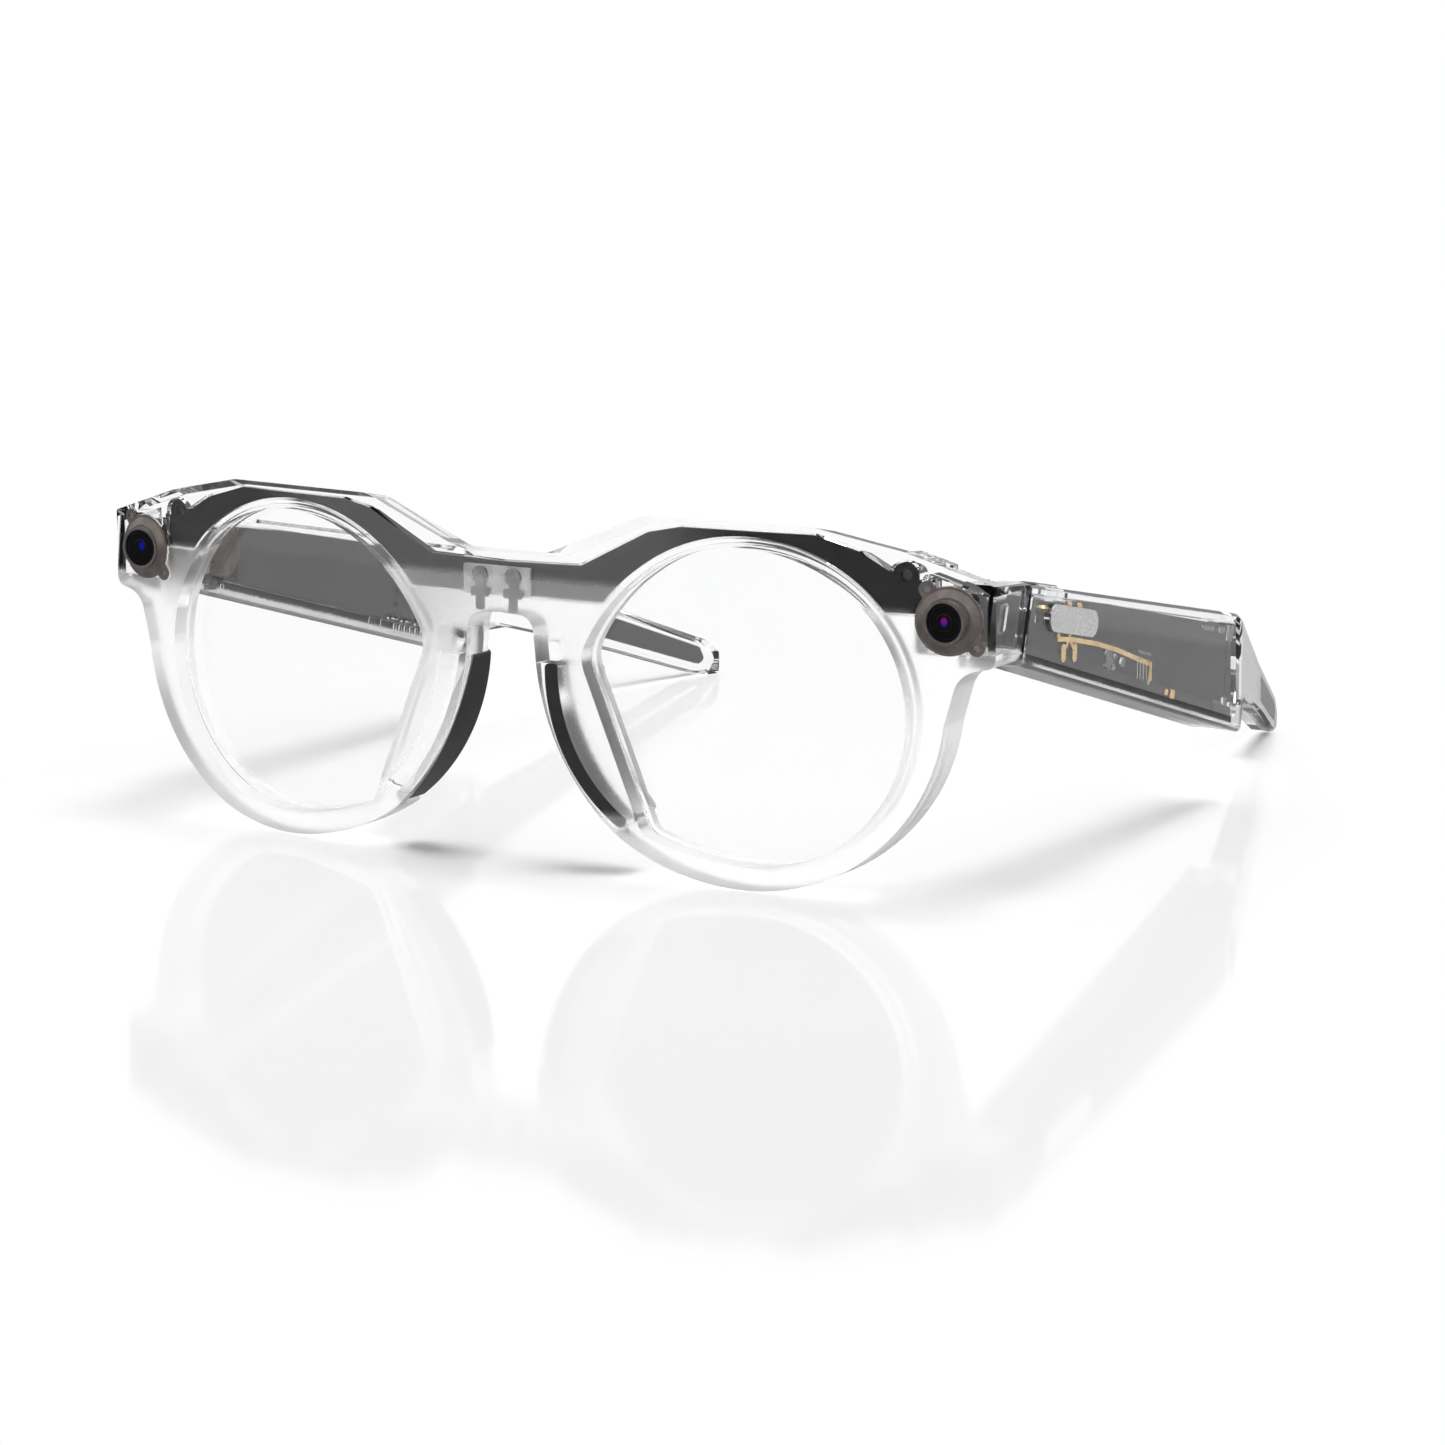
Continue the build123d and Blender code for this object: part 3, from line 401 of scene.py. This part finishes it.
def black_window():
    """The dark glass of the camera and the light: rings round a pupil with a painted coloured
    glint.
    """
    material, tree, shader = new_material("window_black")
    where, axes = place_of(tree)
    reach = distance_from(tree, axes, EYE_X, EYE_Z)
    tone = spread(tree, noise(tree, where, 300), 0.3, 0.7, 0, 1)
    colour = blend_colour(tree, tone, (0.001, 0.001, 0.0015), (0.004, 0.003, 0.006))
    rings = ((0.00125, 0.00005, 0.008), (0.0017, 0.00004, 0.005), (0.00235, 0.00005, 0.008))
    for middle, half, shade in rings:
        ring = band(tree, reach, middle, half, 0.00005)
        colour = blend_colour(tree, ring, colour, (shade, shade, shade * 1.1))
    # Painted reflection: a coloured coating glint on each pupil, blue below and magenta above on
    # the camera, blue on the light
    is_camera = spread(tree, axes["X"], -0.001, 0.001, 0, 1)
    height = spread(tree, axes["Z"], EYE_Z - 0.0006, EYE_Z + 0.0006, 0, 1)
    painted_glint = blend_colour(tree, height, (0.02, 0.015, 0.3), (0.3, 0.004, 0.26))
    painted_glint = blend_colour(tree, is_camera, (0.005, 0.006, 0.35), painted_glint)
    offset = blend_colour(tree, is_camera, (0.00035, 0.00035, 0), (-0.00005, 0.0001, 0))
    shift = tree.nodes.new("ShaderNodeSeparateXYZ")
    tree.links.new(offset, shift.inputs[0])
    across = calc(tree, "SUBTRACT", calc(tree, "ABSOLUTE", axes["X"]), EYE_X)
    signed = calc(tree, "MULTIPLY", across, calc(tree, "SIGN", axes["X"]))
    sideways = calc(tree, "SUBTRACT", signed, shift.outputs["X"])
    upwards = calc(tree, "SUBTRACT", calc(tree, "SUBTRACT", axes["Z"], EYE_Z), shift.outputs["Y"])
    stretched = calc(tree, "MULTIPLY", sideways, 1.3)
    squares = [calc(tree, "MULTIPLY", value, value) for value in (stretched, upwards)]
    pupil = spread(tree, calc(tree, "SQRT", calc(tree, "ADD", *squares)), 0.00035, 0.00085, 1, 0)
    tree.links.new(blend_colour(tree, pupil, colour, painted_glint), shader.inputs["Base Color"])
    rough = spread(tree, noise(tree, where, 900), 0.3, 0.7, 0.02, 0.05)
    tree.links.new(rough, shader.inputs["Roughness"])
    shader.inputs["IOR"].default_value = 1.3
    return material


def temple_film(name, dark, light, painted_light, rectangle=False):
    """The grey inside of a temple, with painted light along its top; a panel gets painted shade off
    its rectangle.
    """
    material, tree, shader = new_material(name)
    where, axes = place_of(tree)
    fine = noise(tree, where, 3800)
    drift = wave(tree, where, 45, 2.0, 0.0008)
    colour = blend_colour(tree, spread(tree, noise(tree, where, 120), 0.3, 0.7, 0, 1), dark, light)
    if rectangle:
        start = FRONT_Y + PANEL_START
        inside = spread(tree, axes["Y"], start - 0.0001, start + 0.0001, 0, 1)
        over = spread(tree, over_line(tree, axes, *PANEL_RECTANGLE), -0.0001, 0.0001, 0, 1)
        # Painted shade on the panel outside its rectangle
        shadow = tuple(0.62 * v for v in dark)
        colour = blend_colour(tree, calc(tree, "MULTIPLY", inside, over), shadow, colour)
    # Painted light along the top of a temple's inside, reaching further at the tip
    start = FRONT_Y + TIP_START
    in_tip = spread(tree, axes["Y"], start - 0.003, start + 0.003, 0, 0.03)
    over = over_line(tree, axes, *FILM_PAINTED_LIGHT)
    line = calc(tree, "ADD", over, calc(tree, "ADD", drift, in_tip))
    colour = blend_colour(tree, spread(tree, line, -0.0009, 0.0009, 0, 1), colour, painted_light)
    tree.links.new(colour, shader.inputs["Base Color"])
    tree.links.new(spread(tree, fine, 0.3, 0.7, 0.42, 0.58), shader.inputs["Roughness"])
    tree.links.new(bump(tree, fine, 0.000012), shader.inputs["Normal"])
    shader.inputs["Specular IOR Level"].default_value = 0.25
    return material


# Slot: name, two shades, roughness, grain in waves per metre and its depth, metallic
SURFACES = {
    "flex_black": (
        "flex_black", (0.02, 0.018, 0.015), (0.05, 0.04, 0.03), (0.35, 0.5), 3000, 1e-5, 0),
    "bracket_grey": (
        "bracket_grey", (0.45, 0.45, 0.45), (0.62, 0.62, 0.62), (0.35, 0.5), 6000, 1e-5, 0.7),
    "contact_steel": (
        "contact_steel", (0.2, 0.2, 0.2), (0.34, 0.33, 0.33), (0.25, 0.4), 5000, 8e-6, 0.9),
    "black_rubber": (
        "rubber_black", (0.012, 0.012, 0.013), (0.022, 0.022, 0.024), (0.42, 0.58),
        4200, 1.2e-5, 0),
    "taupe_metal": (
        "metal_taupe", (0.17, 0.148, 0.14), (0.23, 0.204, 0.19), (0.38, 0.5), 7000, 1e-5, 0.7),
    "module_black": (
        "module_black", (0.03, 0.03, 0.032), (0.06, 0.06, 0.065), (0.3, 0.5), 3500, 1e-5, 0),
    "screw_steel": (
        "screw_steel", (0.35, 0.34, 0.33), (0.5, 0.49, 0.48), (0.2, 0.4), 5000, 8e-6, 1),
    "hinge_metal": (
        "hinge_metal", (0.36, 0.345, 0.335), (0.46, 0.445, 0.43), (0.34, 0.48), 6000, 1e-5, 0.6),
    "pin_steel": ("pin_steel", (0.5, 0.49, 0.48), (0.62, 0.61, 0.6), (0.15, 0.3), 6000, 6e-6, 1),
    "board": ("board_green", (0.01, 0.03, 0.025), (0.02, 0.06, 0.045), (0.3, 0.45), 2500, 1e-5, 0),
    "cell_foil": ("cell_foil", (0.5, 0.5, 0.52), (0.65, 0.65, 0.67), (0.3, 0.5), 900, 5e-5, 0.9),
    "speaker_black": (
        "speaker_black", (0.02, 0.02, 0.02), (0.04, 0.04, 0.04), (0.4, 0.6), 4000, 1e-5, 0),
    "gilt": ("gilt", (0.75, 0.5, 0.2), (0.85, 0.62, 0.3), (0.2, 0.35), 4000, 8e-6, 1),
    "chrome_badge": (
        "chrome_badge", (0.9, 0.9, 0.9), (0.96, 0.96, 0.96), (0.2, 0.3), 5000, 3e-6, 0.4),
    "switch_grey": (
        "switch_grey", (0.05, 0.05, 0.05), (0.08, 0.08, 0.08), (0.4, 0.6), 4000, 1.2e-5, 0),
}


def slot_materials():
    """One material for each of the record's slots."""
    made = {slot: surface(*values) for slot, values in SURFACES.items()}
    rubber = made["black_rubber"].node_tree.nodes["Principled BSDF"]
    rubber.inputs["Sheen Weight"].default_value = 0.15
    rubber.inputs["Sheen Roughness"].default_value = 0.4
    made["clear_cover"] = clear_plastic("cover_clear", all_clear, clear=0.12)
    made["clear_lens"] = lens_glass()
    made["black_plate"] = brow_film_with_painted_reflection()
    made["black_glass"] = black_window()
    # The third shade of each is the painted light along the top
    made["core_grey"] = temple_film(
        "core_grey", (0.042, 0.041, 0.039), (0.048, 0.047, 0.045), (0.14, 0.136, 0.13))
    made["panel_grey"] = temple_film(
        "panel_grey", (0.075, 0.072, 0.069), (0.083, 0.08, 0.077), (0.12, 0.116, 0.111),
        rectangle=True)
    return made


def paint_nodes(by_slot):
    """Gives every CAD node its material."""
    own = {"front_frame": clear_plastic("front_clear", front_line)}
    temple = clear_plastic("temple_clear", temple_line, painted_glow=0.02)
    for side in ("left", "right"):
        own[f"temple_shell_{side}"] = temple
    for name, part in nodes.items():
        slot = part.data.materials[0].name.split(".")[0]
        part.data.materials[0] = own.get(name) or by_slot[slot]


# Small pieces that the CAD leaves out. Outlines are lists of points, in millimetres.
def round_bar(middle, length, width, turn=0.0, steps=8):
    """The outline of a round-ended bar, or of a circle when length and width are equal."""
    half = (length - width) / 2
    points = []
    for end, start in ((1, -pi / 2), (-1, pi / 2)):
        for step in range(steps + 1):
            if half == 0 and step == steps:
                continue
            angle = start + pi * step / steps
            points.append((end * half + cos(angle) * width / 2, sin(angle) * width / 2))
    return turned(points, middle, turn)


def oblong(middle, length, width, turn=0.0, corner=0.25):
    """The outline of a rectangle with rounded corners."""
    points = []
    for x, y, start in ((1, -1, -pi / 2), (1, 1, 0), (-1, 1, pi / 2), (-1, -1, pi)):
        for step in range(4):
            angle = start + pi / 2 * step / 3
            across = x * (length / 2 - corner) + cos(angle) * corner
            points.append((across, y * (width / 2 - corner) + sin(angle) * corner))
    return turned(points, middle, turn)


def turned(points, middle, turn):
    """Points turned by that many degrees and moved to middle."""
    c, s = cos(radians(turn)), sin(radians(turn))
    return [(middle[0] + u * c - v * s, middle[1] + u * s + v * c) for u, v in points]


def on_temple(side):
    """Turns y, z and x of an open temple into the row frame."""

    def place(u, v, w):
        x, y = w - HINGE[0], u - HINGE[1]
        across = HINGE[0] + x * cos(TOE_IN) - y * sin(TOE_IN)
        back = HINGE[1] + x * sin(TOE_IN) + y * cos(TOE_IN)
        return Vector((side * across * MM, FRONT_Y + back * MM, v * MM))

    return place


def on_front(u, v, w):
    """Turns x, z and depth from the foremost point into the row frame."""
    return Vector((u * MM, FRONT_Y + w * MM, v * MM))


def plate(bm, place, outline, low, high, edge=0.06):
    """Adds a plate with softened edges to a mesh, between two heights over its outline."""
    inner = shrunk(outline, edge)
    loops = [(inner, low), (outline, low + edge), (outline, high - edge), (inner, high)]
    rings = [[bm.verts.new(place(u, v, w)) for u, v in points] for points, w in loops]
    for lower, upper in zip(rings, rings[1:]):
        for i in range(len(lower)):
            j = (i + 1) % len(lower)
            bm.faces.new((lower[i], lower[j], upper[j], upper[i]))
    bm.faces.new(reversed(rings[0]))
    bm.faces.new(rings[-1])


def shrunk(outline, by):
    """An outline drawn in towards its middle by about that much."""
    middle = [sum(p[k] for p in outline) / len(outline) for k in (0, 1)]
    drawn = []
    for u, v in outline:
        du, dv = u - middle[0], v - middle[1]
        size = max((du * du + dv * dv) ** 0.5, 1e-6)
        drawn.append((u - du / size * by, v - dv / size * by))
    return drawn


def add_piece(name, place, plates, body, material):
    """One piece made of several plates, each (outline, low, high)."""
    bm = bmesh.new()
    for outline, low, high in plates:
        plate(bm, place, outline, low, high)
    bmesh.ops.recalc_face_normals(bm, faces=bm.faces)
    mesh = bpy.data.meshes.new(name)
    bm.to_mesh(mesh)
    bm.free()
    mesh.materials.append(material)
    piece = bpy.data.objects.new(name, mesh)
    scene.collection.objects.link(piece)
    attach(piece, body)


def temple_details(side, word, materials):
    """What shows through one temple: ribs, an insert, blocks, clips, pads, a skirt and a tab."""
    place = on_temple(side)
    under_skin = (72.95, 73.35)
    under_cover = (68.35, 68.85)
    ribs = [(oblong((58.6 + 1.15 * i, 26.2 - 0.3 * i), 0.5, 3.6), *under_skin) for i in range(4)]
    ribs.append((oblong((60.4, 28.3), 5.2, 0.5, -15), *under_skin))
    insert = [(round_bar((48.4, 29.0), 3.0, 3.0, steps=12), 72.95, 73.1)]
    for i in range(6):
        spot = turned([(1.7, 0)], (48.4, 29.0), 60 * i + 14)[0]
        insert.append((round_bar(spot, 1.1, 0.7, 60 * i), *under_skin))
    insert.append((round_bar((52.6, 28.2), 1.4, 1.4), *under_skin))
    blocks = [
        (oblong((87.6, 15.6), 3.4, 2.2, -17), *under_skin),
        (oblong((90.6, 15.2), 1.6, 3.2, -6), *under_skin),
        (oblong((92.9, 14.4), 1.4, 2.6, -6), *under_skin),
        (oblong((92.3, 26.4), 2.2, 2.4, -14), *under_skin),
        (oblong((89.2, 27.4), 2.6, 1.0, -12), *under_skin),
        (oblong((84.0, 28.5), 4.6, 0.7, -12), *under_skin),
    ]
    clips = [oblong((66.9 + 3.2 * i, 20.4 - 0.9 * i), 2.4, 1.6, -16) for i in range(2)]
    clips += [oblong((73.0 + 1.5 * i, 18.3 - 0.42 * i), 0.7, 1.7, -8) for i in range(6)]
    clips += [oblong((25.2, 31.5), 0.8, 1.8), oblong((26.9, 31.2), 0.8, 1.6)]
    clips = [(outline, *under_cover) for outline in clips]
    gilt = [
        (oblong((70.6, 20.5), 1.8, 1.4, -16), *under_skin),
        (oblong((68.4, 21.2), 1.2, 0.9, -16), *under_skin),
        (oblong((62.6, 25.2), 0.5, 3.0), *under_skin),
    ]
    dark = [
        (oblong((92.2, 22.2), 0.5, 0.5, corner=0.2), 72.9, 73.0),
        (oblong((91.6, 21.4), 0.12, 8.2, -6, corner=0.05), 72.9, 73.0),
        (round_bar((74.0, 24.3), 0.7, 0.7), 68.9, 69.04),
        (round_bar((73.7, 22.2), 0.7, 0.7), 68.9, 69.04),
    ]
    clear, glint = materials["clear_cover"], materials["gilt"]
    body = f"temple_{word}"
    add_piece(f"touch_ribs_{word}", place, ribs, body, clear)
    add_piece(f"shell_insert_{word}", place, insert, body, clear)
    add_piece(f"corner_blocks_{word}", place, blocks, body, clear)
    add_piece(f"cover_clips_{word}", place, clips, body, clear)
    add_piece(f"gilt_pads_{word}", place, gilt, body, glint)
    add_piece(f"core_marks_{word}", place, dark, body, materials["flex_black"])
    skirt = [([(19.6, 33.45), (93.4, 12.3), (93.0, 14.9), (21.0, 35.45)], 72.95, 73.15)]
    add_piece(f"tray_skirt_{word}", place, skirt, body, materials["black_rubber"])
    tab = [(oblong((23.9, 32.4), 3.0, 1.8, -6), 68.0, 68.7)]
    add_piece(f"leaf_tab_{word}", place, tab, body, materials["taupe_metal"])


def bridge_details(materials):
    """The sprung contacts behind the bridge, with their round heads and their legs."""
    plates = []
    for x in (-3.8, 1.8):
        plates.append((round_bar((x, 42.0), 2.7, 2.7, steps=12), 0.95, 1.18))
        plates.append((oblong((x + 0.1, 39.6), 1.5, 5.2), 0.8, 1.1))
        plates.append((oblong((x + 0.1, 39.6), 3.2, 1.3), 0.7, 1.0))
    steel = materials["contact_steel"]
    add_piece("contact_springs", on_front, plates, "front", steel)


add_camera()
add_floor()
add_world()
add_sun()
materials = slot_materials()
paint_nodes(materials)
for side, word in ((1, "left"), (-1, "right")):
    temple_details(side, word, materials)
bridge_details(materials)
scene.view_settings.view_transform = "Standard"
scene.cycles.transmission_bounces = 16
scene.cycles.max_bounces = 20
scene.cycles.transparent_max_bounces = 16
